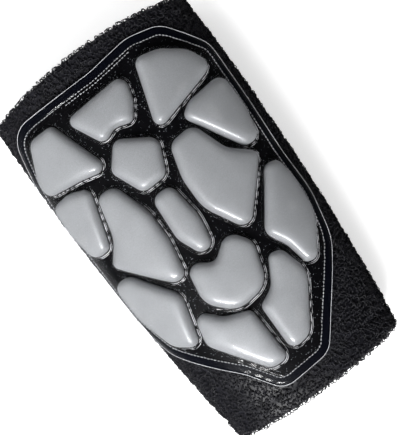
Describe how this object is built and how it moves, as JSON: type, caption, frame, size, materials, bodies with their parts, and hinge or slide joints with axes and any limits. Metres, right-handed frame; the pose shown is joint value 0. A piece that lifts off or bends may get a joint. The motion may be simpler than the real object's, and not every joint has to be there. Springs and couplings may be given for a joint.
{
  "type": "elbow pad",
  "caption": "Pull-on elbow pad: black terry sleeve with a clear moulded shield sewn over domed silver pads that cover the elbow.",
  "frame": {"origin": "on the floor under the middle of the sleeve, where it lies with the shield up", "axes": "+Y up the arm towards the wide upper-arm end, +X to the right of the shield, +Z out through the shield"},
  "size_m": [0.1361, 0.2356, 0.0736],
  "materials": {
    "black_terry": "looped terry towelling, matt",
    "black_knit": "plain knit, the turned-in side of the terry",
    "black_thread": "black sewing thread",
    "textured_backing": "black, pebbled",
    "silver_pad": "satin silver grey, soft",
    "clear_film": "clear, glossy, flexible",
    "white_thread": "light grey lock stitch"
  },
  "bodies": {
    "root": {"terry_sleeve": "black_terry", "upper_arm_hem": "black_knit", "forearm_hem": "black_knit", "upper_arm_hem_stitches": "black_thread", "forearm_hem_stitches": "black_thread", "backing_sheet": "textured_backing", "clear_shield_film": "clear_film", "perimeter_stitches": "white_thread", "pad_top_left": "silver_pad", "pad_top_right": "silver_pad", "pad_upper_right": "silver_pad", "pad_upper_left": "silver_pad", "pad_upper_centre": "silver_pad", "pad_elbow_right": "silver_pad", "pad_left_side": "silver_pad", "pad_elbow_left": "silver_pad", "pad_elbow_centre": "silver_pad", "pad_right_side": "silver_pad", "pad_lower_centre": "silver_pad", "pad_lower_left": "silver_pad", "pad_bottom_right": "silver_pad", "pad_bottom_left": "silver_pad"}
  },
  "joints": []
}
